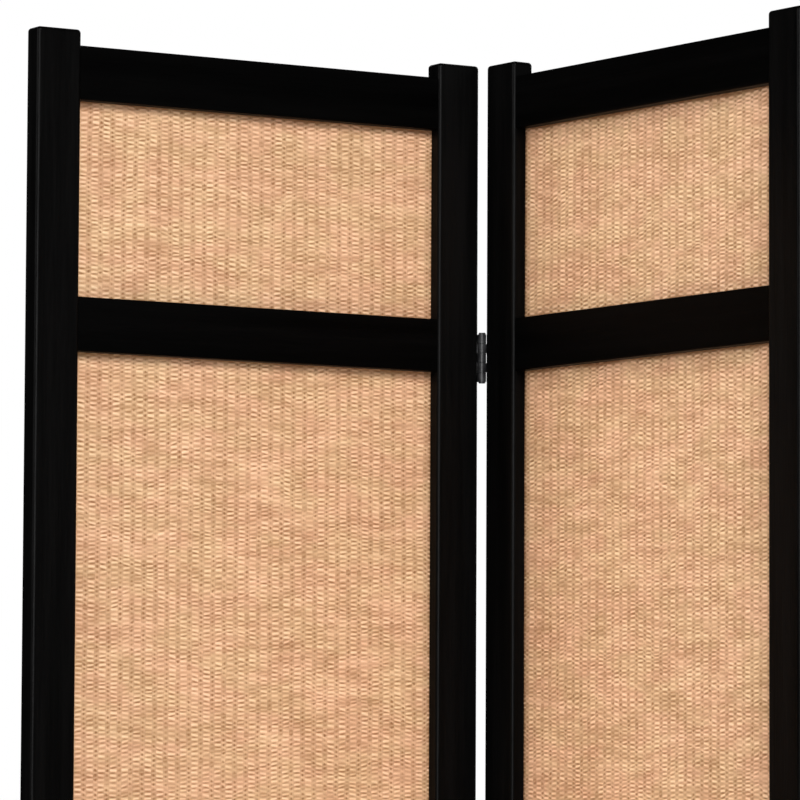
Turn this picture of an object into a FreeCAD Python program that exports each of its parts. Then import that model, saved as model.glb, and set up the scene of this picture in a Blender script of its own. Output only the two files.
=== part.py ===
import FreeCAD, Part
import math
import os

import Sketcher
from FreeCAD import Placement, Rotation, Vector

# A free-standing folding screen: four equal panels in a zigzag, joined by butt hinges.
# +Z is up and the front faces -Y. The origin is on the floor, at the middle of the screen's box.
# Every panel is built in its own frame (x along the panel, y from front to back, z from the floor)
# and then placed in the zigzag. Lengths are in millimetres, angles in degrees.

PANELS = 4
FOLDS = PANELS - 1

SIZES = {
    "panel_width": 400,
    "screen_height": 1700,
    "fold_angle": 43.5,  # each panel's turn from the screen's long axis
    "stile_width": 38,
    "stile_depth": 19,
    "stile_rise": 12,  # stile top above the top rail
    "stile_radius": 3,
    "rail_height": 42,
    "rail_depth": 15,
    "rail_setback": 2,
    "rail_radius": 1.5,
    "upper_cell": 152,  # clear height between the top and middle rails
    "leg_height": 60,  # floor to the bottom rail
    "rebate_width": 7,
    "rebate_front": 11.5,  # panel front to the rebate's face
    "weave_depth": 3,
    "weave_gap": 0.5,  # between the sheet's edge and the rebate's side
    "bead_width": 9,
    "bead_depth": 4,
    "bead_bevel": 2.5,
    "dowel_diameter": 8,
    "dowel_length": 44,
    "dowel_chamfer": 0.8,
    "dowel_spacing": 18,
    "dowel_fit": 0.05,  # radial
    "glide_diameter": 16,
    "glide_top_diameter": 13,
    "glide_height": 3,
    "nail_diameter": 2.5,
    "nail_length": 14,
    "nail_hole_spare": 1,  # how much deeper the nail's hole is
    "fold_gap": 4.5,  # between two stiles when the panels are in line
    "axis_proud": 1.5,  # hinge axis outside the panel's face
    "hinge_height": 38,
    "barrel_diameter": 6.5,
    "knuckle_gap": 0.3,
    "pin_diameter": 3.5,
    "pin_fit": 0.05,  # radial
    "pin_head_diameter": 5.5,
    "pin_head_height": 1.2,
    "leaf_width": 16,  # from the hinge axis
    "leaf_thickness": 1.3,
    "notch_gap": 0.45,
    "top_hinge_drop": 235.5,  # hinge centre below the stile top
    "bottom_hinge_rise": 235,  # hinge centre above the floor
    "screw_diameter": 3,
    "screw_head_diameter": 5.8,
    "screw_head_height": 1.1,
    "screw_length": 11,  # shank, without head and tip
    "screw_tip": 2,
    "screw_tip_radius": 0.3,
    "screw_fit": 0.05,  # radial
    "screw_spacing": 25,
    "screw_inset": 9.5,  # from the hinge axis
    "recess_width": 0.9,
    "recess_length": 3.2,
    "recess_depth": 0.7,
    "cut_margin": 1,  # how far a cutting shape passes the face that it cuts
}
KNUCKLES = 5  # per hinge, shared by its two leaves
TOLERANCE = 0.1  # for telling one edge from another
LEAST_VOLUME = 1  # a drilling that removes less has missed the wood

# Heights above the floor, as expressions of the sheet.
TOP_RAIL = "(Sizes.screen_height - Sizes.stile_rise - Sizes.rail_height)"
MIDDLE_RAIL = f"({TOP_RAIL} - Sizes.upper_cell - Sizes.rail_height)"
BOTTOM_RAIL = "Sizes.leg_height"
RAILS = {"top": TOP_RAIL, "middle": MIDDLE_RAIL, "bottom": BOTTOM_RAIL}
# Each cell's lowest and highest clear height.
CELLS = {
    "upper": (f"({MIDDLE_RAIL} + Sizes.rail_height)", TOP_RAIL),
    "lower": (f"({BOTTOM_RAIL} + Sizes.rail_height)", MIDDLE_RAIL),
}
TOP_HINGE = "(Sizes.screen_height - Sizes.top_hinge_drop)"
BOTTOM_HINGE = "Sizes.bottom_hinge_rise"
MIDDLE_HINGE = f"(({TOP_HINGE} + {BOTTOM_HINGE}) / 2)"
HINGES = (BOTTOM_HINGE, MIDDLE_HINGE, TOP_HINGE)

CLEAR_WIDTH = "(Sizes.panel_width - 2 * Sizes.stile_width)"
RAIL_BACK = "(Sizes.rail_setback + Sizes.rail_depth)"
WOOD_MIDDLE = "(Sizes.stile_depth / 2)"
BARREL_RADIUS = "(Sizes.barrel_diameter / 2)"

doc = FreeCAD.newDocument("folding_screen")
sheet = doc.addObject("Spreadsheet::Sheet", "Sizes")
for row, (alias, number) in enumerate(SIZES.items(), start=1):
    sheet.set(f"A{row}", alias)
    sheet.set(f"B{row}", str(number))
    sheet.setAlias(f"B{row}", alias)
doc.recompute()


def value(expression):
    """The number that an expression of the sheet gives now."""
    result = sheet.evalExpression(expression)
    return float(getattr(result, "Value", result))


def bind(thing, **expressions):
    """Binds properties to the sheet. Base_x stands for Placement.Base.x."""
    for name, expression in expressions.items():
        path = name.replace("Base_", "Placement.Base.")
        thing.setExpression(path, expression)
    return thing


# ---------------------------------------------------------------- sketches and bodies


def new_body(label):
    body = doc.addObject("PartDesign::Body", label)
    body.Label = label
    return body


def new_sketch(body, plane_role, name, offset="0"):
    """An empty sketch on one of the body's own origin planes, moved along its normal."""
    planes = [plane for plane in body.Origin.OriginFeatures if plane.Role == plane_role]
    sketch = body.newObject("Sketcher::SketchObject", name)
    sketch.AttachmentSupport = [(planes[0], "")]
    sketch.MapMode = "FlatFace"
    sketch.setExpression("AttachmentOffset.Base.z", offset)
    return sketch


def bind_point(sketch, geometry, point, name, x, y):
    """Fixes one point of the sketch at two expressions, measured from the sketch's origin."""
    for axis, expression in (("X", x), ("Y", y)):
        constraint = Sketcher.Constraint("Distance" + axis, -1, 1, geometry, point, value(expression))
        index = sketch.addConstraint(constraint)
        sketch.renameConstraint(index, f"{name}_{axis.lower()}")
        sketch.setExpression(f"Constraints.{name}_{axis.lower()}", expression)


def draw_outline(sketch, corners):
    """A closed outline of straight lines through corners, each a pair of expressions."""
    points = [Vector(value(x), value(y), 0) for x, y in corners]
    count = len(points)
    for index in range(count):
        sketch.addGeometry(Part.LineSegment(points[index], points[(index + 1) % count]), False)
    for index in range(count):
        sketch.addConstraint(Sketcher.Constraint("Coincident", index, 2, (index + 1) % count, 1))
        bind_point(sketch, index, 1, f"corner_{index}", *corners[index])


def draw_circles(sketch, centres, diameter):
    """Equal circles at centres, each a pair of expressions."""
    for index, (x, y) in enumerate(centres):
        circle = Part.Circle(Vector(value(x), value(y), 0), Vector(0, 0, 1), value(diameter) / 2)
        sketch.addGeometry(circle, False)
        bind_point(sketch, index, 3, f"centre_{index}", x, y)
        constraint = sketch.addConstraint(Sketcher.Constraint("Diameter", index, value(diameter)))
        sketch.renameConstraint(constraint, f"diameter_{index}")
        sketch.setExpression(f"Constraints.diameter_{index}", diameter)


def drill(body, name, start_x, towards_x, centres, diameter, depth):
    """Round holes along x from the plane x = start_x, and a test that they removed wood."""
    before = body.Shape.Volume
    sketch = new_sketch(body, "YZ_Plane", name + "_sketch", start_x)
    draw_circles(sketch, centres, diameter)
    pocket = body.newObject("PartDesign::Pocket", name)
    pocket.Profile = sketch
    pocket.Reversed = towards_x > 0  # a pocket runs against its sketch's normal otherwise
    bind(pocket, Length=depth)
    doc.recompute()
    if before - body.Shape.Volume < LEAST_VOLUME:
        raise RuntimeError(f"{body.Label}: {name} removed nothing")


def round_edges(body, feature, radius, wanted):
    """Rounds the feature's edges for which wanted(edge) holds."""
    names = [f"Edge{i}" for i, edge in enumerate(feature.Shape.Edges, start=1) if wanted(edge)]
    fillet = body.newObject("PartDesign::Fillet", "rounding")
    fillet.Base = (feature, names)
    bind(fillet, Radius=radius)
    doc.recompute()


def dowel_centres(rails):
    """(y, z) of the two dowels at the end of each rail in rails."""
    centres = []
    for rail in rails:
        for sign in "+-":
            height = f"{RAILS[rail]} + (Sizes.rail_height {sign} Sizes.dowel_spacing) / 2"
            centres.append((WOOD_MIDDLE, height))
    return centres


DOWEL_HOLE = "Sizes.dowel_diameter + 2 * Sizes.dowel_fit"
DOWEL_REACH = "Sizes.dowel_length / 2"


def make_stile(label, side, folds_at):
    """An upright: rounded edges and top, rebates behind both cells, holes for dowels and screws.

    side is left or right. folds_at is front or back where the outer edge carries hinges.
    """
    body = new_body(label)
    outer = "0" if side == "left" else "Sizes.panel_width"
    inner = "Sizes.stile_width" if side == "left" else "(Sizes.panel_width - Sizes.stile_width)"
    inward = 1 if side == "left" else -1
    section = new_sketch(body, "XY_Plane", "section", "Sizes.glide_height")
    depth = "Sizes.stile_depth"
    draw_outline(section, [(outer, "0"), (inner, "0"), (inner, depth), (outer, depth)])
    post = body.newObject("PartDesign::Pad", "post")
    post.Profile = section
    bind(post, Length="Sizes.screen_height - Sizes.glide_height")
    doc.recompute()
    foot = value("Sizes.glide_height")

    def above_foot(edge):
        return edge.BoundBox.ZMax > foot + TOLERANCE

    round_edges(body, post, "Sizes.stile_radius", above_foot)

    for cell, (low, high) in CELLS.items():
        rebate = body.newObject("PartDesign::SubtractiveBox", cell + "_rebate")
        bind(
            rebate,
            Length="Sizes.rebate_width",
            Width="Sizes.stile_depth - Sizes.rebate_front",
            Height=f"{high} - {low} + 2 * Sizes.rebate_width",
            Base_x=inner if inward < 0 else f"{inner} - Sizes.rebate_width",
            Base_y="Sizes.rebate_front",
            Base_z=f"{low} - Sizes.rebate_width",
        )
    nail = body.newObject("PartDesign::SubtractiveCylinder", "nail_hole")
    bind(
        nail,
        Radius="Sizes.nail_diameter / 2",
        Height="Sizes.nail_length",
        Base_x=f"({outer} + {inner}) / 2",
        Base_y=WOOD_MIDDLE,
        Base_z="Sizes.glide_height",
    )
    doc.recompute()
    drill(body, "dowel_holes", inner, -inward, dowel_centres(RAILS), DOWEL_HOLE, DOWEL_REACH)
    if folds_at:
        inset = "(Sizes.screw_inset - Sizes.axis_proud)"
        y = inset if folds_at == "front" else f"(Sizes.stile_depth - {inset})"
        centres = []
        for hinge in HINGES:
            for sign in "+-":
                centres.append((y, f"{hinge} {sign} Sizes.screw_spacing / 2"))
        hole = "Sizes.screw_diameter + 2 * Sizes.screw_fit"
        reach = "Sizes.screw_length + Sizes.screw_tip"
        drill(body, "screw_holes", outer, inward, centres, hole, reach)
    return body


def make_rail(label, rail):
    """A cross rail with a rebate at each edge that a woven sheet meets, and holes in its ends."""
    body = new_body(label)
    low = RAILS[rail]
    high = f"({low} + Sizes.rail_height)"
    front = "Sizes.rail_setback"
    step = "Sizes.rebate_front"
    corners = [(front, low)]
    if rail == "bottom":
        corners += [(RAIL_BACK, low)]
    else:
        inside = f"({low} + Sizes.rebate_width)"
        corners += [(step, low), (step, inside), (RAIL_BACK, inside)]
    if rail == "top":
        corners += [(RAIL_BACK, high)]
    else:
        inside = f"({high} - Sizes.rebate_width)"
        corners += [(RAIL_BACK, inside), (step, inside), (step, high)]
    corners += [(front, high)]
    section = new_sketch(body, "YZ_Plane", "section", "Sizes.stile_width")
    draw_outline(section, corners)
    bar = body.newObject("PartDesign::Pad", "bar")
    bar.Profile = section
    bind(bar, Length=CLEAR_WIDTH)
    doc.recompute()
    face = value(front)
    length = value(CLEAR_WIDTH)

    def along_front(edge):
        return edge.BoundBox.YMax < face + TOLERANCE and edge.BoundBox.XLength > length - TOLERANCE

    round_edges(body, bar, "Sizes.rail_radius", along_front)
    for name, start, towards in (
        ("left_dowel_holes", "Sizes.stile_width", 1),
        ("right_dowel_holes", "Sizes.panel_width - Sizes.stile_width", -1),
    ):
        drill(body, name, start, towards, dowel_centres([rail]), DOWEL_HOLE, DOWEL_REACH)
    return body


# ---------------------------------------------------------------- small parts, made once and repeated


def make_box(name, **expressions):
    return bind(doc.addObject("Part::Box", name), **expressions)


def make_cylinder(name, radius, height, z="0"):
    return bind(doc.addObject("Part::Cylinder", name), Radius=radius, Height=height, Base_z=z)


def make_cone(name, low_radius, high_radius, height, z):
    cone = doc.addObject("Part::Cone", name)
    return bind(cone, Radius1=low_radius, Radius2=high_radius, Height=height, Base_z=z)


def fuse(name, shapes):
    joined = doc.addObject("Part::MultiFuse", name)
    joined.Shapes = shapes
    return joined


def cut(name, base, tool):
    result = doc.addObject("Part::Cut", name)
    result.Base = base
    result.Tool = tool
    return result


def make_dowel():
    """A smooth dowel with chamfered ends, along z from the origin."""
    radius = "Sizes.dowel_diameter / 2"
    tip = f"{radius} - Sizes.dowel_chamfer"
    chamfer = "Sizes.dowel_chamfer"
    middle = "Sizes.dowel_length - 2 * Sizes.dowel_chamfer"
    parts = [
        make_cone("dowel_low_end", tip, radius, chamfer, "0"),
        make_cylinder("dowel_middle", radius, middle, chamfer),
        make_cone("dowel_high_end", radius, tip, chamfer, f"{chamfer} + {middle}"),
    ]
    return fuse("dowel", parts)


def make_glide():
    """A nail-on glide: a disc that widens to the floor, and its nail."""
    low_radius = "Sizes.glide_diameter / 2"
    high_radius = "Sizes.glide_top_diameter / 2"
    height = "Sizes.glide_height"
    disc = make_cone("glide_disc", low_radius, high_radius, height, "0")
    reach = "Sizes.nail_length - Sizes.nail_hole_spare"
    nail = make_cylinder("glide_nail", "Sizes.nail_diameter / 2", reach, height)
    return fuse("glide", [disc, nail])


def make_screw():
    """A countersunk screw with a cross recess, pointing down, its head's face at the origin."""
    radius = "Sizes.screw_diameter / 2"
    shank_low = "-Sizes.screw_head_height - Sizes.screw_length"
    head_radius = "Sizes.screw_head_diameter / 2"
    head = "Sizes.screw_head_height"
    tip = "Sizes.screw_tip"
    parts = [
        make_cone("screw_head", radius, head_radius, head, f"-{head}"),
        make_cylinder("screw_shank", radius, "Sizes.screw_length", shank_low),
        make_cone("screw_tip", "Sizes.screw_tip_radius", radius, tip, f"{shank_low} - {tip}"),
    ]
    arms = []
    for name, length, width in (
        ("recess_first_arm", "Sizes.recess_length", "Sizes.recess_width"),
        ("recess_second_arm", "Sizes.recess_width", "Sizes.recess_length"),
    ):
        arm = make_box(
            name,
            Length=length,
            Width=width,
            Height="Sizes.recess_depth + Sizes.cut_margin",
            Base_x=f"-{length} / 2",
            Base_y=f"-{width} / 2",
            Base_z="-Sizes.recess_depth",
        )
        arms.append(arm)
    return cut("screw", fuse("screw_blank", parts), fuse("screw_recess", arms))


def make_pin():
    """A hinge pin with a head at each end, about the hinge's middle."""
    half = "Sizes.hinge_height / 2"
    head = "Sizes.pin_head_diameter / 2"
    parts = [
        make_cylinder("pin_shank", "Sizes.pin_diameter / 2", "Sizes.hinge_height", f"-{half}"),
        make_cylinder("pin_low_head", head, "Sizes.pin_head_height", f"-{half} - Sizes.pin_head_height"),
        make_cylinder("pin_high_head", head, "Sizes.pin_head_height", half),
    ]
    return fuse("pin", parts)


KNUCKLE = f"((Sizes.hinge_height - {KNUCKLES - 1} * Sizes.knuckle_gap) / {KNUCKLES})"


def knuckle_low(index):
    """The lowest height of one knuckle, from the hinge's middle."""
    return f"(-Sizes.hinge_height / 2 + {index} * ({KNUCKLE} + Sizes.knuckle_gap))"


def make_leaf(name, first_knuckle):
    """A hinge leaf on the -x side of the axis, which is z. Its plate runs towards +y.

    It owns every second knuckle from first_knuckle on, and is notched round the others.
    """
    plate = make_box(
        name + "_plate",
        Length="Sizes.leaf_thickness",
        Width="Sizes.leaf_width",
        Height="Sizes.hinge_height",
        Base_x="-Sizes.fold_gap / 2",
        Base_z="-Sizes.hinge_height / 2",
    )
    solids = [plate]
    holes = []
    for index in range(KNUCKLES):
        low = knuckle_low(index)
        if (index - first_knuckle) % 2 == 0:
            barrel = make_cylinder(f"{name}_knuckle_{index}", BARREL_RADIUS, KNUCKLE, low)
            solids.append(barrel)
            continue
        notch = make_box(
            f"{name}_notch_{index}",
            Length="Sizes.leaf_thickness + 2 * Sizes.cut_margin",
            Width=f"2 * ({BARREL_RADIUS} + Sizes.notch_gap)",
            Height=f"{KNUCKLE} + 2 * Sizes.knuckle_gap",
            Base_x="-Sizes.fold_gap / 2 - Sizes.cut_margin",
            Base_y=f"-({BARREL_RADIUS} + Sizes.notch_gap)",
            Base_z=f"{low} - Sizes.knuckle_gap",
        )
        holes.append(notch)
    bore_radius = "Sizes.pin_diameter / 2 + Sizes.pin_fit"
    bore_length = "Sizes.hinge_height + 2 * Sizes.cut_margin"
    holes.append(make_cylinder(name + "_bore", bore_radius, bore_length, f"-({bore_length}) / 2"))
    face = "-Sizes.fold_gap / 2 + Sizes.leaf_thickness"
    head = "Sizes.screw_head_diameter / 2"
    shank = "Sizes.screw_diameter / 2"
    past_plate = "Sizes.leaf_thickness + Sizes.cut_margin"
    for sign, end in (("+", "high"), ("-", "low")):
        countersink = doc.addObject("Part::Cone", f"{name}_{end}_countersink")
        bind(countersink, Radius1=shank, Radius2=head, Height="Sizes.screw_head_height")
        through = doc.addObject("Part::Cylinder", f"{name}_{end}_hole")
        bind(through, Radius=f"{shank} + Sizes.screw_fit", Height=f"{past_plate} + Sizes.cut_margin")
        for tool, depth in ((countersink, "Sizes.screw_head_height"), (through, past_plate)):
            tool.Placement.Rotation = Rotation(Vector(0, 1, 0), 90)
            bind(
                tool,
                Base_x=f"{face} - ({depth})",
                Base_y="Sizes.screw_inset",
                Base_z=f"{sign} Sizes.screw_spacing / 2",
            )
            holes.append(tool)
    return cut(name, fuse(name + "_blank", solids), fuse(name + "_holes", holes))


def repeat(label, original, places):
    """One sub-part of separate, equal solids. places is a list of (x, y, z, rotation)."""
    copies = []
    for index, (x, y, z, rotation) in enumerate(places):
        copy = doc.addObject("App::Link", f"{label}_{index}")
        copy.LinkedObject = original
        copy.LinkTransform = True
        copy.Placement = Placement(Vector(0, 0, 0), rotation)
        copies.append(bind(copy, Base_x=x, Base_y=y, Base_z=z))
    group = doc.addObject("Part::Compound", label)
    group.Label = label
    group.Links = copies
    return group


# ---------------------------------------------------------------- sheets and beads


def make_weave(label, cell):
    """A woven sheet, plain and flat, filling its cell and most of the rebate round it."""
    low, high = CELLS[cell]
    lap = "(Sizes.rebate_width - Sizes.weave_gap)"
    weave = make_box(
        label,
        Length=f"{CLEAR_WIDTH} + 2 * {lap}",
        Width="Sizes.weave_depth",
        Height=f"{high} - {low} + 2 * {lap}",
        Base_x=f"Sizes.stile_width - {lap}",
        Base_y="Sizes.rebate_front",
        Base_z=f"{low} - {lap}",
    )
    weave.Label = label
    return framed(weave)


def make_beads(label, cell):
    """Four bevelled strips behind the sheet, two long ones across and two uprights between them."""
    low, high = CELLS[cell]
    left = "(Sizes.stile_width - Sizes.rebate_width)"
    right = "(Sizes.panel_width - Sizes.stile_width + Sizes.rebate_width)"
    floor_side = f"({low} - Sizes.rebate_width)"
    roof_side = f"({high} + Sizes.rebate_width)"
    width = "Sizes.bead_width"
    bevel = "Sizes.bead_bevel"
    # name, x range, z range, and how far the back face draws in at x low, x high, z low, z high
    strips = [
        ("low", left, right, floor_side, f"{floor_side} + {width}", "0", "0", "0", bevel),
        ("high", left, right, f"{roof_side} - {width}", roof_side, "0", "0", bevel, "0"),
        ("left", left, f"{left} + {width}", f"{floor_side} + {width}", f"{roof_side} - {width}",
         "0", bevel, "0", "0"),
        ("right", f"{right} - {width}", right, f"{floor_side} + {width}", f"{roof_side} - {width}",
         bevel, "0", "0", "0"),
    ]
    solids = []
    for name, x_low, x_high, z_low, z_high, in_x_low, in_x_high, in_z_low, in_z_high in strips:
        strip = doc.addObject("Part::Wedge", f"{label}_{name}")
        bind(
            strip,
            Xmin=x_low,
            Xmax=x_high,
            Ymin="Sizes.rebate_front + Sizes.weave_depth",
            Ymax="Sizes.rebate_front + Sizes.weave_depth + Sizes.bead_depth",
            Zmin=z_low,
            Zmax=z_high,
            X2min=f"{x_low} + {in_x_low}",
            X2max=f"{x_high} - {in_x_high}",
            Z2min=f"{z_low} + {in_z_low}",
            Z2max=f"{z_high} - {in_z_high}",
        )
        solids.append(strip)
    beads = doc.addObject("Part::Compound", label)
    beads.Label = label
    beads.Links = solids
    return beads


def framed(thing):
    """A one-piece group, so that the piece keeps its bound place inside the panel's frame."""
    group = doc.addObject("Part::Compound", thing.Name + "_in_frame")
    label = thing.Label
    thing.Label = label + "_sheet"
    group.Label = label
    group.Links = [thing]
    return group


# ---------------------------------------------------------------- the zigzag


def fold_side(fold):
    """Odd folds hinge at the front and even folds at the back, so the screen folds as a zigzag."""
    return "front" if fold % 2 else "back"


def axis_y(fold):
    """The hinge axis's y in the frame of either panel."""
    return "-Sizes.axis_proud" if fold_side(fold) == "front" else "Sizes.stile_depth + Sizes.axis_proud"


LEFT_AXIS_X = "-Sizes.fold_gap / 2"
RIGHT_AXIS_X = "Sizes.panel_width + Sizes.fold_gap / 2"


def panel_places():
    """Each panel's Placement: the panels turn left and right in turn and share their hinge axes."""
    places = []
    axis = Vector(0, 0, 0)
    for panel in range(1, PANELS + 1):
        angle = value("Sizes.fold_angle") * (1 if panel % 2 else -1)
        turn = Rotation(Vector(0, 0, 1), angle)
        if panel > 1:
            own_axis = Vector(value(LEFT_AXIS_X), value(axis_y(panel - 1)), 0)
            origin = axis - turn.multVec(own_axis)
        else:
            origin = Vector(0, 0, 0)
        places.append(Placement(origin, turn))
        if panel < PANELS:
            next_axis = Vector(value(RIGHT_AXIS_X), value(axis_y(panel)), 0)
            axis = origin + turn.multVec(next_axis)
    # The rounded corners of the stiles reach furthest to each side.
    radius = value("Sizes.stile_radius")
    reach_x = []
    reach_y = []
    for place in places:
        for x in (radius, value("Sizes.panel_width") - radius):
            for y in (radius, value("Sizes.stile_depth") - radius):
                corner = place.multVec(Vector(x, y, 0))
                reach_x += [corner.x - radius, corner.x + radius]
                reach_y += [corner.y - radius, corner.y + radius]
    middle = Vector((min(reach_x) + max(reach_x)) / 2, (min(reach_y) + max(reach_y)) / 2, 0)
    return [Placement(place.Base - middle, place.Rotation) for place in places]


def make_panel(panel, dowel, glide):
    """Every piece of one panel except its hinges."""
    name = f"panel_{panel}_"
    left_fold = fold_side(panel - 1) if panel > 1 else None
    right_fold = fold_side(panel) if panel < PANELS else None
    pieces = [
        make_stile(name + "left_stile", "left", left_fold),
        make_stile(name + "right_stile", "right", right_fold),
    ]
    for rail in RAILS:
        pieces.append(make_rail(f"{name}{rail}_rail", rail))
    for cell in CELLS:
        pieces.append(make_weave(f"{name}{cell}_weave", cell))
        pieces.append(make_beads(f"{name}{cell}_beads", cell))
    along_x = Rotation(Vector(0, 1, 0), 90)
    dowel_places = []
    for y, z in dowel_centres(RAILS):
        for joint_x in ("Sizes.stile_width", "Sizes.panel_width - Sizes.stile_width"):
            dowel_places.append((f"{joint_x} - {DOWEL_REACH}", y, z, along_x))
    pieces.append(repeat(name + "dowels", dowel, dowel_places))
    upright = Rotation()
    glide_places = [
        ("Sizes.stile_width / 2", WOOD_MIDDLE, "0", upright),
        ("Sizes.panel_width - Sizes.stile_width / 2", WOOD_MIDDLE, "0", upright),
    ]
    pieces.append(repeat(name + "glides", glide, glide_places))
    return pieces


def make_fold(fold, outer_leaf, inner_leaf, pin, screw):
    """The hinges of one fold: pieces that ride on the left panel, and on the right panel."""
    name = f"fold_{fold}_"
    y = axis_y(fold)
    at_front = fold_side(fold) == "front"
    # Leaves are modelled for the left panel with their plates towards +y.
    left_turn = Rotation() if at_front else Rotation(Vector(1, 0, 0), 180)
    right_turn = Rotation(Vector(0, 1, 0), 180) if at_front else Rotation(Vector(0, 0, 1), 180)
    left_places = [(RIGHT_AXIS_X, y, z, left_turn) for z in HINGES]
    right_places = [(LEFT_AXIS_X, y, z, right_turn) for z in HINGES]
    towards_wood = "+" if at_front else "-"
    screw_y = f"{y} {towards_wood} Sizes.screw_inset"
    left_screws = []
    right_screws = []
    for hinge in HINGES:
        for sign in "+-":
            z = f"{hinge} {sign} Sizes.screw_spacing / 2"
            left_x = "Sizes.panel_width + Sizes.leaf_thickness"
            left_screws.append((left_x, screw_y, z, Rotation(Vector(0, 1, 0), 90)))
            right_x = "-Sizes.leaf_thickness"
            right_screws.append((right_x, screw_y, z, Rotation(Vector(0, 1, 0), -90)))
    on_left_panel = [
        repeat(name + "left_leaves", outer_leaf, left_places),
        repeat(name + "pins", pin, left_places),
        repeat(name + "left_screws", screw, left_screws),
    ]
    on_right_panel = [
        repeat(name + "right_leaves", inner_leaf, right_places),
        repeat(name + "right_screws", screw, right_screws),
    ]
    return on_left_panel, on_right_panel


def failed_states(thing):
    return [state for state in thing.State if state in ("Invalid", "Error")]


def main():
    dowel = make_dowel()
    glide = make_glide()
    screw = make_screw()
    pin = make_pin()
    outer_leaf = make_leaf("outer_leaf", 0)
    inner_leaf = make_leaf("inner_leaf", 1)
    doc.recompute()

    places = panel_places()
    sub_parts = []
    for panel in range(1, PANELS + 1):
        for piece in make_panel(panel, dowel, glide):
            sub_parts.append((piece, places[panel - 1]))
    for fold in range(1, FOLDS + 1):
        on_left, on_right = make_fold(fold, outer_leaf, inner_leaf, pin, screw)
        sub_parts += [(piece, places[fold - 1]) for piece in on_left]
        sub_parts += [(piece, places[fold]) for piece in on_right]
    for piece, place in sub_parts:
        piece.Placement = place
    doc.recompute()

    for thing in doc.Objects:
        if failed_states(thing):
            raise RuntimeError(f"{thing.Label} failed: {thing.State}")
    for piece, _ in sub_parts:
        if piece.Shape.isNull() or not piece.Shape.isValid():
            raise RuntimeError(f"{piece.Label} has no valid shape")

    os.makedirs("parts", exist_ok=True)
    for piece, _ in sub_parts:
        piece.Shape.exportStep(f"parts/{piece.Label}.step")
    print(f"{len(sub_parts)} sub-parts written")
    for panel, place in enumerate(places, start=1):
        print(f"panel {panel} at {place.Base}, turned {math.degrees(place.Rotation.Angle):.1f}")
    for fold in range(1, FOLDS + 1):
        axis = places[fold - 1].multVec(Vector(value(RIGHT_AXIS_X), value(axis_y(fold)), 0))
        print(f"fold {fold} axis at x {axis.x:.3f}, y {axis.y:.3f}")


main()
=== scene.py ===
"""Folding room divider: four black timber panels of woven paper cord, joined by butt hinges."""

import math

import bpy
import numpy as np
from mathutils import Matrix, Vector


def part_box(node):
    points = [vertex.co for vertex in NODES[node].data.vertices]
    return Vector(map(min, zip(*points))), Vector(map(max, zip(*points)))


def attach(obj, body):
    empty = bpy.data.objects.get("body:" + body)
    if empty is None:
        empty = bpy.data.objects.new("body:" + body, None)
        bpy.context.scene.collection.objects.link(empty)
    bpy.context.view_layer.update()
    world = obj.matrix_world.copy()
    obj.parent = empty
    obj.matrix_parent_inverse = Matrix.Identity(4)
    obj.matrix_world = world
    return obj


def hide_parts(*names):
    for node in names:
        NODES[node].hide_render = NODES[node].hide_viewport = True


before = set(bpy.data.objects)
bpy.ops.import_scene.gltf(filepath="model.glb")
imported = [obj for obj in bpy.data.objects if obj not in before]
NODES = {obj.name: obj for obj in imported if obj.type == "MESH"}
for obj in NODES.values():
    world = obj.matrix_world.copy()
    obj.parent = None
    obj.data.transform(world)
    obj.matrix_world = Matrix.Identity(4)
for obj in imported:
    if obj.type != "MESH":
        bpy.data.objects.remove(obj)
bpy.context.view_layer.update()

PANELS = (1, 2, 3, 4)
FOLDS = (1, 2, 3)

# The weave: a plain weave of paper cord, in metres.
COLUMN = 0.0051          # from one warp cord to the next
ROW = 0.00176            # from one weft cord to the next
COLUMN_STEPS = 2         # mesh steps across one column
ROW_STEPS = 2            # mesh steps up one row
RELIEF = 0.00030         # height of a float above the mean surface
UNEVEN = 0.5             # the share by which floats differ in height
CLOTH_DEPTH = 0.0009     # from the front of the sheet's space to the mean surface
SLACK = 0.00035          # the sheet's slow waves, in and out
SLACK_STEPS = (30, 90)   # their length, in mesh steps across and up
CALM_EDGE = 0.012        # the depth of edge in which the wander grows from none to full
WANDER_ASIDE = (         # how far the cords wander, and over how many mesh steps across and up
    (0.00050, 5, 34),
    (0.00035, 3, 9),
)
WANDER_UP = (
    (0.00180, 14, 36),
    (0.00075, 5, 12),
)
TUCK = 0.0065            # how much of the sheet's edge is hidden under the frame
EDGE_SHADE_REACH = 0.0038     # how far the painted shade along the frame reaches into the cord

# The weave's pattern, in columns across and rows up.
CROWDING = 0.12          # how far the long floats spread into the columns between them
LEAN = 0.75              # the steepest slope of a float
PIT_LONG = 0.34          # half-length of a pit between long floats
PIT_LOW = 0.30           # and its half-height
PIT_SHORT = 0.21         # half-length of a pit in the columns between
PIT_ROUND = 0.44         # and its half-height
CROWN_LONG = 0.47        # half-length of a float's crown
CROWN_LOW = 0.44         # and its half-height

# How much each thing lightens the cord, on a scale from its darkest colour (0) to its lightest (1).
BASE_LIGHT = -0.04
ODD_COLUMN_LIGHT = 0.02
TWIST_LIGHT = 0.02
BATCH_LIGHT = 0.38
STRAND_LIGHT = 0.50
CHANCE_LIGHT = 0.09
# painted shade: darkens the cord along the frame, where the sheet sits in its recess
PAINTED_EDGE_SHADE = -0.36
# painted shade in the pits between the floats
PIT_PAINTED_SHADE = -0.40
# painted highlight on the crowns of the floats
CROWN_PAINTED_HIGHLIGHT = 0.36
CORD_COLOURS = (
    (0.00, (0.280, 0.128, 0.054)),
    (0.28, (0.390, 0.208, 0.102)),
    (0.56, (0.640, 0.385, 0.228)),
    (0.90, (0.900, 0.610, 0.395)),
)
CORD_HUES = (
    (0.40, (1.015, 0.975, 0.970)),
    (0.60, (0.980, 1.015, 0.950)),
)

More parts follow.
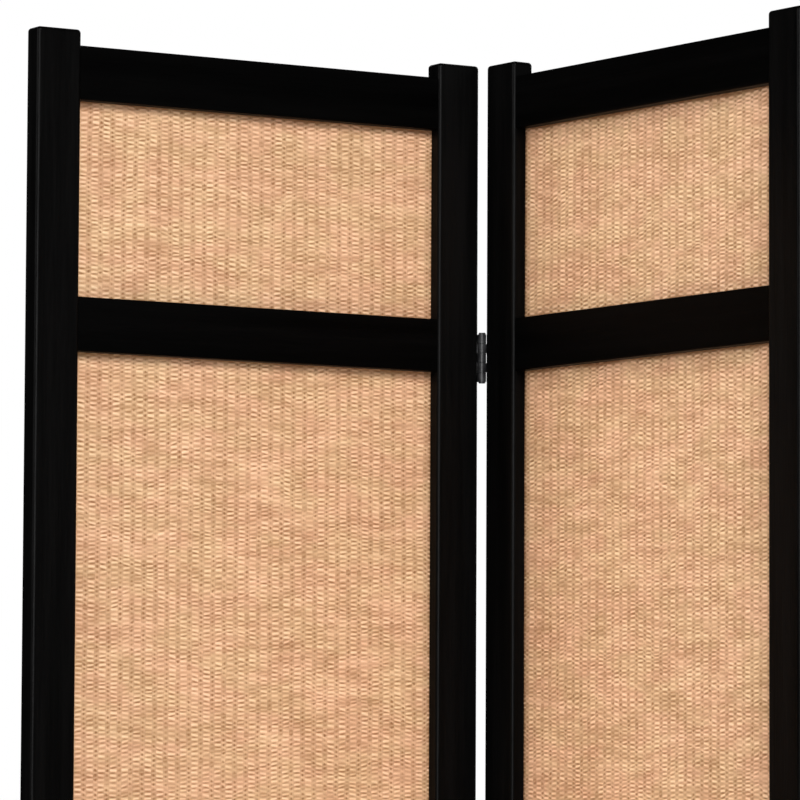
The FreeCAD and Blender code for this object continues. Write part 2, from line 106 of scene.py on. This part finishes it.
# Timber: the darkest and lightest tone of the stain, and its specular level.
STILE_TONE = (0.0004, 0.0028)
STILE_GLOSS = 0.035
RAIL_TONE = (0.0003, 0.0014)
RAIL_GLOSS = 0.02
GRAIN_REACH = 26.0       # how much longer than wide the streaks of the grain are

# The studio, in metres and watts.
FLOOR_SOLID = 1.2        # radius within which the floor is solid
FLOOR_END = 3.6          # radius at which it has faded out
BACKDROP_SHOWN = 1.0     # the backdrop's strength to the camera
BACKDROP_GIVEN = 0.32    # to matt surfaces
BACKDROP_MIRRORED = 0.01  # to glossy ones
LAMP_AIM = (0.0, 0.0, 1.05)
LAMPS = (                # name, place, size, power, and whether it lights matt surfaces too
    ("key", (1.2, -3.2, 3.5), 1.6, 144.0, True),
    ("left_fill", (-3.4, -2.4, 2.8), 2.2, 81.0, True),
    ("front_fill", (0.9, -4.6, 1.5), 1.0, 27.0, True),
    ("right_sheen", (3.8, -0.8, 1.9), 1.6, 8.0, True),
    ("edge_glint", (-0.2, -4.9, 2.0), 2.0, 180.0, False),
    ("back_fill", (0.6, 3.8, 2.8), 2.4, 125.0, True),
)
LENS = 244.1             # in millimetres, on a sensor 36 mm wide
CAMERA_PLACE = (0.521, -4.112, 1.082)
CAMERA_TURN = math.radians(11.93)
CAMERA_TILT = math.radians(94.61)
CAMERA_ROLL = math.radians(0.27)


# ---------------------------------------------------------------- shader helpers

def add_node(tree, kind):
    """A new shader node, in the next free place of a loose grid."""
    count = len(tree.nodes)
    made = tree.nodes.new(kind)
    made.location = (200 * (count % 10), -220 * (count // 10))
    return made


def maths(tree, operation, first, second=None, third=None, clamp=False):
    """A Math node: each operand is a number or the socket that feeds it."""
    made = add_node(tree, "ShaderNodeMath")
    made.operation = operation
    made.use_clamp = clamp
    for place, operand in enumerate((first, second, third)):
        if operand is None:
            continue
        if isinstance(operand, (int, float)):
            made.inputs[place].default_value = operand
        else:
            tree.links.new(operand, made.inputs[place])
    return made.outputs[0]


def weighted(tree, start, *terms):
    """A start plus the sum of (socket, weight) terms."""
    total = start
    for socket, weight in terms:
        total = maths(tree, "MULTIPLY_ADD", socket, weight, total)
    return total


def blank_material(name):
    """A node material with its Principled shader."""
    material = bpy.data.materials.new(name)
    material.use_nodes = True
    tree = material.node_tree
    tree.nodes.clear()
    output = add_node(tree, "ShaderNodeOutputMaterial")
    shader = add_node(tree, "ShaderNodeBsdfPrincipled")
    tree.links.new(shader.outputs["BSDF"], output.inputs["Surface"])
    return material, tree, shader


def ramp(tree, factor, stops):
    """A colour ramp through (position, colour) stops."""
    made = add_node(tree, "ShaderNodeValToRGB")
    band = made.color_ramp
    while len(band.elements) < len(stops):
        band.elements.new(0.5)
    for element, (position, colour) in zip(band.elements, stops):
        element.position = position
        element.color = (*colour, 1.0)
    tree.links.new(factor, made.inputs["Fac"])
    return made.outputs["Color"]


def noise(tree, vector, scale, detail=2.0, roughness=0.5):
    """The value of a noise pattern read along a vector socket."""
    made = add_node(tree, "ShaderNodeTexNoise")
    made.inputs["Scale"].default_value = scale
    made.inputs["Detail"].default_value = detail
    made.inputs["Roughness"].default_value = roughness
    tree.links.new(vector, made.inputs["Vector"])
    return made.outputs[0]


def stretched(tree, turn=0.0, scale=(1.0, 1.0, 1.0)):
    """Object coordinates turned about Z, then scaled, so that a pattern runs along one axis."""
    coordinates = add_node(tree, "ShaderNodeTexCoord")
    mapping = add_node(tree, "ShaderNodeMapping")
    mapping.vector_type = "TEXTURE"
    mapping.inputs["Rotation"].default_value = (0.0, 0.0, turn)
    mapping.inputs["Scale"].default_value = scale
    tree.links.new(coordinates.outputs["Object"], mapping.inputs["Vector"])
    return mapping.outputs["Vector"]


def bump(tree, height, strength, distance, shader):
    """Feeds a height to a shader's normal."""
    made = add_node(tree, "ShaderNodeBump")
    made.inputs["Strength"].default_value = strength
    made.inputs["Distance"].default_value = distance
    tree.links.new(height, made.inputs["Height"])
    tree.links.new(made.outputs["Normal"], shader.inputs["Normal"])


# ---------------------------------------------------------------- black timber

def timber(name, turn, along, shift, tone, gloss):
    """Satin black stain over an open grain that runs along an axis of the panel ("x" or "z")."""
    material, tree, shader = blank_material(name)
    scale = (GRAIN_REACH, 1.0, 1.0) if along == "x" else (1.0, 1.0, GRAIN_REACH)
    vector = stretched(tree, turn, scale)
    moved = add_node(tree, "ShaderNodeVectorMath")
    moved.operation = "ADD"
    moved.inputs[1].default_value = (shift, shift * 0.7, shift * 0.4)
    tree.links.new(vector, moved.inputs[0])
    vector = moved.outputs[0]

    figure = noise(tree, vector, 55.0, detail=3.0, roughness=0.6)
    pores = noise(tree, vector, 620.0, detail=3.0, roughness=0.65)
    mottle = noise(tree, vector, 18.0)
    streak = weighted(tree, 0.0, (mottle, 0.24), (pores, 0.26), (figure, 0.62))
    low, high = tone
    colour = ramp(tree, streak, (
        (0.40, (low, low, low)),
        (0.56, (0.45 * (low + high), 0.44 * (low + high), 0.44 * (low + high))),
        (0.70, (high, high * 0.97, high * 0.96)),
    ))
    tree.links.new(colour, shader.inputs["Base Color"])
    tree.links.new(weighted(tree, 0.17, (streak, 0.30)), shader.inputs["Roughness"])
    shader.inputs["Specular IOR Level"].default_value = gloss
    bump(tree, weighted(tree, 0.0, (figure, 0.6), (pores, 0.75)), 0.28, 0.0006, shader)
    return material


# ---------------------------------------------------------------- metal, dowels and glides

def black_metal(name, colour, roughness, wear):
    """Semi-gloss black over steel, with a faint orange-peel and brighter worn places."""
    material, tree, shader = blank_material(name)
    vector = stretched(tree)
    cloud = noise(tree, vector, 90.0, detail=3.0, roughness=0.6)
    grain = noise(tree, vector, 2600.0)
    tint = ramp(tree, cloud, (
        (0.42, colour),
        (0.66, tuple(channel + wear for channel in colour)),
    ))
    tree.links.new(tint, shader.inputs["Base Color"])
    tree.links.new(weighted(tree, roughness - 0.11, (cloud, 0.22)), shader.inputs["Roughness"])
    shader.inputs["Metallic"].default_value = 0.0
    shader.inputs["Specular IOR Level"].default_value = 0.17
    bump(tree, grain, 0.12, 0.0001, shader)
    return material


def beech():
    """Bare turned beech: pale, with short dark flecks along the dowel."""
    material, tree, shader = blank_material("beech_dowel")
    vector = stretched(tree)
    rings = noise(tree, vector, 380.0, detail=3.0, roughness=0.6)
    flecks = noise(tree, vector, 1900.0)
    mixed = weighted(tree, 0.0, (flecks, 0.4), (rings, 0.6))
    colour = ramp(tree, mixed, (
        (0.38, (0.40, 0.24, 0.12)),
        (0.52, (0.60, 0.41, 0.24)),
        (0.68, (0.72, 0.53, 0.34)),
    ))
    tree.links.new(colour, shader.inputs["Base Color"])
    tree.links.new(weighted(tree, 0.45, (mixed, 0.25)), shader.inputs["Roughness"])
    bump(tree, flecks, 0.3, 0.0003, shader)
    return material


def nylon():
    """Matt black moulded nylon with a fine spark-eroded texture."""
    material, tree, shader = blank_material("nylon_glide")
    vector = stretched(tree)
    texture = noise(tree, vector, 1800.0)
    cloud = noise(tree, vector, 120.0)
    colour = ramp(tree, cloud, (
        (0.40, (0.012, 0.012, 0.013)),
        (0.65, (0.026, 0.026, 0.028)),
    ))
    tree.links.new(colour, shader.inputs["Base Color"])
    tree.links.new(weighted(tree, 0.55, (texture, 0.25)), shader.inputs["Roughness"])
    bump(tree, texture, 0.35, 0.0003, shader)
    return material


# ---------------------------------------------------------------- woven paper cord

def painted_edge_shade(tree, across, up, width, height):
    """How strongly the painted shade along the frame darkens the sheet: 1 along the frame, 0 a little way
    in.
    """
    far_side = maths(tree, "SUBTRACT", width / COLUMN, across)
    far_end = maths(tree, "SUBTRACT", height / ROW, up)
    aside = maths(tree, "MULTIPLY", maths(tree, "MINIMUM", across, far_side), COLUMN)
    along = maths(tree, "MULTIPLY", maths(tree, "MINIMUM", up, far_end), ROW)
    nearest = maths(tree, "MINIMUM", aside, along)
    at_frame = 1.0 + TUCK / EDGE_SHADE_REACH
    edge_shade = maths(tree, "MULTIPLY_ADD", nearest, -1.0 / EDGE_SHADE_REACH, at_frame, clamp=True)
    return maths(tree, "MULTIPLY", edge_shade, edge_shade)


def by_column(tree, odd, even_value, odd_value):
    """One value in the odd columns, which carry the long floats, and another in the even ones."""
    return maths(tree, "MULTIPLY_ADD", odd, odd_value - even_value, even_value)


def chance(tree, column, row, salt):
    """A random number from 0 to 1 for one cell of the weave."""
    cell = add_node(tree, "ShaderNodeCombineXYZ")
    tree.links.new(column, cell.inputs[0])
    tree.links.new(row, cell.inputs[1])
    cell.inputs[2].default_value = salt
    lot = add_node(tree, "ShaderNodeTexWhiteNoise")
    lot.noise_dimensions = "3D"
    tree.links.new(cell.outputs[0], lot.inputs["Vector"])
    return lot.outputs["Value"]


def spot(tree, aside, length, along, height, squareness):
    """A soft spot: 1 in its middle, falling away across and up. Squareness is 2 for an oval, or more."""
    far_x = maths(tree, "ABSOLUTE", maths(tree, "DIVIDE", aside, length))
    far_z = maths(tree, "ABSOLUTE", maths(tree, "DIVIDE", along, height))
    far_x = maths(tree, "POWER", far_x, squareness)
    far_z = maths(tree, "POWER", far_z, 2.0)
    away = maths(tree, "MULTIPLY", maths(tree, "ADD", far_x, far_z), -1.0)
    return maths(tree, "EXPONENT", away)


def woven_cord(name, shift, width, height):
    """Twisted paper cord in plain weave, in columns and rows counted by the sheet's own UV map."""
    material, tree, shader = blank_material(name)
    uv = add_node(tree, "ShaderNodeUVMap")
    uv.uv_map = "columns_rows"
    parts = add_node(tree, "ShaderNodeSeparateXYZ")
    tree.links.new(uv.outputs["UV"], parts.inputs[0])
    across, up = parts.outputs[0], parts.outputs[1]
    # Painted shade along the frame, strongest at the sheet's edge under the frame.
    edge_shade = painted_edge_shade(tree, across, up, width, height)
    swing = maths(tree, "SINE", maths(tree, "MULTIPLY", across, math.pi))
    across = maths(tree, "MULTIPLY_ADD", swing, CROWDING, across)

    # The column and the row of the nearest float, and how far away it and the nearest pit are.
    column = maths(tree, "ROUND", across)
    odd = maths(tree, "PINGPONG", column, 1.0)
    aside = maths(tree, "SUBTRACT", across, column)
    half = maths(tree, "MULTIPLY", maths(tree, "SUBTRACT", up, column), 0.5)
    row = maths(tree, "MULTIPLY_ADD", maths(tree, "ROUND", half), 2.0, column)
    above = maths(tree, "SUBTRACT", up, row)
    rest = maths(tree, "SUBTRACT", 1.0, maths(tree, "ABSOLUTE", above))

    # Each float and each pit differs from the next, and leans its own way.
    float_chance = chance(tree, column, row, shift)
    pit_row = maths(tree, "ADD", row, maths(tree, "SIGN", above))
    pit_chance = chance(tree, column, pit_row, shift + 5.0)
    lean = maths(tree, "MULTIPLY", aside, weighted(tree, -LEAN, (float_chance, 2.0 * LEAN)))
    above_leaning = maths(tree, "ADD", above, lean)
    rest_leaning = maths(tree, "ADD", rest, lean)

    # Batches of cord: patches a few centimetres across, and smaller ones where the weave shows more.
    wide = stretched(tree, scale=(1.6, 1.6, 0.8))
    batch = noise(tree, wide, 30.0, detail=3.0, roughness=0.55)
    warmth = noise(tree, wide, 34.0)
    tightness = weighted(tree, -0.30, (noise(tree, wide, 70.0), 2.6))

    # Pits are long and low between the long floats, and small and round in the columns between them. A pit
    # darkens the cord as painted shade in its hollow, and also sinks the bump.
    pit_length = by_column(tree, odd, PIT_SHORT, PIT_LONG)
    pit_height = by_column(tree, odd, PIT_ROUND, PIT_LOW)
    pit = spot(tree, aside, pit_length, rest_leaning, pit_height, 2.0)
    pit = maths(tree, "MULTIPLY", pit, weighted(tree, 0.20, (pit_chance, 1.10)))
    pit = maths(tree, "MULTIPLY", pit, by_column(tree, odd, 1.10, 0.75))
    pit = maths(tree, "MULTIPLY", pit, tightness)

    # A float's crown gets a painted highlight, weaker in the even columns, where it is sunken; the same
    # spot also raises the bump.
    crown = spot(tree, aside, CROWN_LONG, above_leaning, CROWN_LOW, 4.0)
    crown = maths(tree, "MULTIPLY", crown, by_column(tree, odd, 0.40, 1.0))
    crown = maths(tree, "MULTIPLY", crown, weighted(tree, 0.65, (pit_chance, 0.70)))
    crown = maths(tree, "MULTIPLY", crown, tightness)

    # Each weft cord changes slowly along its length.
    along_cord = add_node(tree, "ShaderNodeCombineXYZ")
    tree.links.new(maths(tree, "MULTIPLY", across, 0.22), along_cord.inputs[0])
    tree.links.new(maths(tree, "MULTIPLY", row, 0.47), along_cord.inputs[1])
    along_cord.inputs[2].default_value = shift * 3.1
    strand = noise(tree, along_cord.outputs[0], 1.0)

    # The twist of the cord: short slanting lines along each float.
    slant = weighted(tree, 0.0, (above, 1.5), (across, 9.0))
    twist = maths(tree, "SINE", maths(tree, "MULTIPLY", slant, math.pi))

    light = weighted(
        tree,
        BASE_LIGHT,
        (odd, ODD_COLUMN_LIGHT),
        (twist, TWIST_LIGHT),
        (batch, BATCH_LIGHT),
        (strand, STRAND_LIGHT),
        (float_chance, CHANCE_LIGHT),
        # painted shade along the frame
        (edge_shade, PAINTED_EDGE_SHADE),
        # painted shade in the pits
        (pit, PIT_PAINTED_SHADE),
        # painted highlight on the crowns
        (crown, CROWN_PAINTED_HIGHLIGHT),
    )
    tinted = add_node(tree, "ShaderNodeMix")
    tinted.data_type = "RGBA"
    tinted.blend_type = "MULTIPLY"
    tinted.inputs["Factor"].default_value = 1.0
    tree.links.new(ramp(tree, light, CORD_COLOURS), tinted.inputs["A"])
    tree.links.new(ramp(tree, warmth, CORD_HUES), tinted.inputs["B"])
    tree.links.new(tinted.outputs["Result"], shader.inputs["Base Color"])
    tree.links.new(weighted(tree, 0.82, (light, -0.18)), shader.inputs["Roughness"])
    shader.inputs["Specular IOR Level"].default_value = 0.25
    height_map = weighted(tree, 0.0, (crown, 0.5), (twist, 0.06), (pit, -0.6))
    bump(tree, height_map, 0.5, 0.0005, shader)
    return material


def smooth_field(rng, columns, rows, cell_columns, cell_rows):
    """A grid of values from -1 to 1 that change smoothly over cells of so many grid steps."""
    coarse_columns = int(columns / cell_columns) + 3
    coarse_rows = int(rows / cell_rows) + 3
    coarse = rng.uniform(-1.0, 1.0, (coarse_rows, coarse_columns))
    x = np.arange(columns) / cell_columns
    y = np.arange(rows) / cell_rows
    column, row = x.astype(int), y.astype(int)
    part_x = x - column
    part_y = (y - row)[:, None]
    ease_x = part_x * part_x * (3 - 2 * part_x)
    ease_y = part_y * part_y * (3 - 2 * part_y)
    low = coarse[row][:, column] * (1 - ease_x) + coarse[row][:, column + 1] * ease_x
    high = coarse[row + 1][:, column] * (1 - ease_x) + coarse[row + 1][:, column + 1] * ease_x
    return low * (1 - ease_y) + high * ease_y


def sheet_points(width, height, rng):
    """The sheet's points, and each one's place counted in columns and rows, as two grids of vectors."""
    columns = int(round(width / COLUMN * COLUMN_STEPS)) + 1
    rows = int(round(height / ROW * ROW_STEPS)) + 1
    u, v = np.meshgrid(np.arange(columns) / COLUMN_STEPS, np.arange(rows) / ROW_STEPS)
    x, z = np.meshgrid(np.linspace(0.0, width, columns), np.linspace(0.0, height, rows))

    # How far each point is from the sheet's edge, from 0 at the edge to 1 inside.
    inset = np.minimum(np.minimum(x, width - x), np.minimum(z, height - z))
    inside = np.clip(inset / CALM_EDGE, 0.0, 1.0)

    # The cords wander a little in the plane, and the whole sheet waves slightly.
    for reach, cell_columns, cell_rows in WANDER_ASIDE:
        x += inside * reach * smooth_field(rng, columns, rows, cell_columns, cell_rows)
    for reach, cell_columns, cell_rows in WANDER_UP:
        z += inside * reach * smooth_field(rng, columns, rows, cell_columns, cell_rows)
    wave = SLACK * inside * smooth_field(rng, columns, rows, *SLACK_STEPS)

    # Floats stand out where a weft cord passes over a warp cord, and sink where it passes under.
    plain = np.cos(np.pi * u) * np.cos(np.pi * v) * (0.75 - 0.25 * np.cos(np.pi * u))
    uneven = 1.0 + UNEVEN * smooth_field(rng, columns, rows, 2, 3)
    y = -(RELIEF * plain * uneven) + wave
    return np.stack([x, y, z], axis=-1), np.stack([u, v], axis=-1)


def weave_mesh(name, width, height, seed):
    """A sheet of plain weave in the XZ plane, its low left corner at the origin and its front facing -Y."""
    grid, pattern = sheet_points(width, height, np.random.default_rng(seed))
    rows, columns = grid.shape[:2]
    index = np.arange(rows * columns).reshape(rows, columns)
    quads = np.stack([index[:-1, :-1], index[:-1, 1:], index[1:, 1:], index[1:, :-1]], axis=-1)
    quads = quads.reshape(-1, 4)
    corners = quads.ravel()

    mesh = bpy.data.meshes.new(name)
    mesh.vertices.add(rows * columns)
    mesh.vertices.foreach_set("co", grid.astype(np.float32).ravel())
    mesh.loops.add(len(corners))
    mesh.loops.foreach_set("vertex_index", corners.astype(np.int32))
    mesh.polygons.add(len(quads))
    mesh.polygons.foreach_set("loop_start", np.arange(0, len(corners), 4, dtype=np.int32))
    mesh.update(calc_edges=True)
    layer = mesh.uv_layers.new(name="columns_rows")
    layer.data.foreach_set("uv", pattern.reshape(-1, 2)[corners].astype(np.float32).ravel())
    mesh.shade_smooth()
    return mesh


# ---------------------------------------------------------------- panels and folds

def centre(name):
    """The middle of a node's box."""
    low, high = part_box(name)
    return (low + high) / 2


def panel_matrix(panel):
    """The panel's own frame at rest: X across it, Y to its back, Z up, with Z 0 on the floor."""
    across = centre(f"panel_{panel}_right_stile") - centre(f"panel_{panel}_left_stile")
    across.z = 0.0
    across.normalize()
    back = Vector((-across.y, across.x, 0.0))
    points = [v.co for v in NODES[f"panel_{panel}_left_stile"].data.vertices]
    left = min(p.dot(across) for p in points)
    front = min(p.dot(back) for p in points)
    origin = across * left + back * front
    return Matrix((
        (across.x, back.x, 0.0, origin.x),
        (across.y, back.y, 0.0, origin.y),
        (0.0, 0.0, 1.0, 0.0),
        (0.0, 0.0, 0.0, 1.0),
    ))


def local_box(name, matrix):
    """A node's corners in a panel's own frame."""
    inverse = matrix.inverted()
    points = np.array([inverse @ v.co for v in NODES[name].data.vertices])
    return points.min(axis=0), points.max(axis=0)


def paint(name, material):
    """Gives a CAD node its finished material."""
    for slot in NODES[name].material_slots:
        slot.link = "OBJECT"
        slot.material = material


def lay_cloth(panel, cell, matrix):
    """Puts the woven sheet of one cell in place of its CAD stand-in."""
    source = f"panel_{panel}_{cell}_weave"
    low, high = local_box(source, matrix)
    width, height = float(high[0] - low[0]), float(high[2] - low[2])
    seed = 100 * panel + (1 if cell == "upper" else 2)
    mesh = weave_mesh(f"{source}_cloth", width, height, seed)
    mesh.materials.append(woven_cord(f"{source}_cord", 1.7 * seed % 19.0, width, height))
    cloth = bpy.data.objects.new(f"{source}_cloth", mesh)
    bpy.context.scene.collection.objects.link(cloth)
    corner = Vector((float(low[0]), float(low[1]) + CLOTH_DEPTH, float(low[2])))
    cloth.matrix_world = matrix @ Matrix.Translation(corner)
    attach(cloth, f"panel_{panel}")
    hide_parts(source)


metal = black_metal("hinge_black", (0.011, 0.011, 0.012), 0.30, 0.02)
zinc = black_metal("screw_black_zinc", (0.022, 0.022, 0.024), 0.38, 0.05)
dowel = beech()
glide = nylon()

for panel in PANELS:
    matrix = panel_matrix(panel)
    turn = math.atan2(matrix[1][0], matrix[0][0])
    upright = timber(f"stile_timber_{panel}", turn, "z", 3.7 * panel, STILE_TONE, STILE_GLOSS)
    level = timber(f"rail_timber_{panel}", turn, "x", 5.3 * panel, RAIL_TONE, RAIL_GLOSS)
    for part in ("left_stile", "right_stile"):
        paint(f"panel_{panel}_{part}", upright)
    for part in ("top_rail", "middle_rail", "bottom_rail", "upper_beads", "lower_beads"):
        paint(f"panel_{panel}_{part}", level)
    paint(f"panel_{panel}_dowels", dowel)
    paint(f"panel_{panel}_glides", glide)
    for cell in ("upper", "lower"):
        lay_cloth(panel, cell, matrix)

for fold in FOLDS:
    for part in ("left_leaves", "right_leaves", "pins"):
        paint(f"fold_{fold}_{part}", metal)
    for part in ("left_screws", "right_screws"):
        paint(f"fold_{fold}_{part}", zinc)


# ---------------------------------------------------------------- floor, light and camera

def studio_floor():
    """A plain pale floor under the object, which fades out into the backdrop all round."""
    material, tree, shader = blank_material("studio_floor")
    vector = stretched(tree)
    distance = add_node(tree, "ShaderNodeVectorMath")
    distance.operation = "LENGTH"
    tree.links.new(vector, distance.inputs[0])
    fade = add_node(tree, "ShaderNodeMapRange")
    fade.interpolation_type = "SMOOTHSTEP"
    fade.inputs["From Min"].default_value = FLOOR_SOLID
    fade.inputs["From Max"].default_value = FLOOR_END
    fade.inputs["To Min"].default_value = 1.0
    fade.inputs["To Max"].default_value = 0.0
    tree.links.new(distance.outputs["Value"], fade.inputs["Value"])
    tree.links.new(fade.outputs["Result"], shader.inputs["Alpha"])
    colour = ramp(tree, noise(tree, vector, 3.0), (
        (0.35, (0.86, 0.86, 0.86)),
        (0.70, (0.89, 0.89, 0.89)),
    ))
    tree.links.new(colour, shader.inputs["Base Color"])
    shader.inputs["Roughness"].default_value = 0.75
    mesh = bpy.data.meshes.new("studio_floor")
    corners = [(x * FLOOR_END, y * FLOOR_END, 0.0) for x, y in ((-1, -1), (1, -1), (1, 1), (-1, 1))]
    mesh.from_pydata(corners, [], [(0, 1, 2, 3)])
    mesh.materials.append(material)
    floor = bpy.data.objects.new("studio_floor", mesh)
    bpy.context.scene.collection.objects.link(floor)


def softbox(name, place, size, power, lights_matt):
    """A square area light, out of the camera's sight, that faces the object."""
    data = bpy.data.lights.new(name, "AREA")
    data.shape = "SQUARE"
    data.size = size
    data.energy = power
    light = bpy.data.objects.new(name, data)
    bpy.context.scene.collection.objects.link(light)
    light.location = place
    direction = Vector(LAMP_AIM) - Vector(place)
    light.rotation_euler = direction.to_track_quat("-Z", "Y").to_euler()
    light.visible_camera = False
    light.visible_diffuse = lights_matt


def white_world():
    """A white backdrop that lights the scene more gently than it shows, and gloss more gently still."""
    world = bpy.data.worlds.new("white_studio")
    world.use_nodes = True
    tree = world.node_tree
    tree.nodes.clear()
    output = add_node(tree, "ShaderNodeOutputWorld")
    path = add_node(tree, "ShaderNodeLightPath")
    strength = weighted(
        tree,
        BACKDROP_GIVEN,
        (path.outputs["Is Camera Ray"], BACKDROP_SHOWN - BACKDROP_GIVEN),
        (path.outputs["Is Glossy Ray"], BACKDROP_MIRRORED - BACKDROP_GIVEN),
    )
    background = add_node(tree, "ShaderNodeBackground")
    background.inputs["Color"].default_value = (1.0, 1.0, 1.0, 1.0)
    tree.links.new(strength, background.inputs["Strength"])
    tree.links.new(background.outputs[0], output.inputs["Surface"])
    bpy.context.scene.world = world


def main_camera():
    """The camera that sees the top of the first fold, from a little to its right."""
    data = bpy.data.cameras.new("camera")
    data.sensor_width = 36.0
    data.lens = LENS
    data.clip_end = 200.0
    camera = bpy.data.objects.new("camera", data)
    bpy.context.scene.collection.objects.link(camera)
    camera.matrix_world = (
        Matrix.Translation(CAMERA_PLACE)
        @ Matrix.Rotation(CAMERA_TURN, 4, "Z")
        @ Matrix.Rotation(CAMERA_TILT, 4, "X")
        @ Matrix.Rotation(CAMERA_ROLL, 4, "Z")
    )
    return camera


studio_floor()
white_world()
for lamp in LAMPS:
    softbox(*lamp)
bpy.context.scene.camera = main_camera()
bpy.context.scene.view_settings.view_transform = "Standard"

bpy.context.view_layer.update()
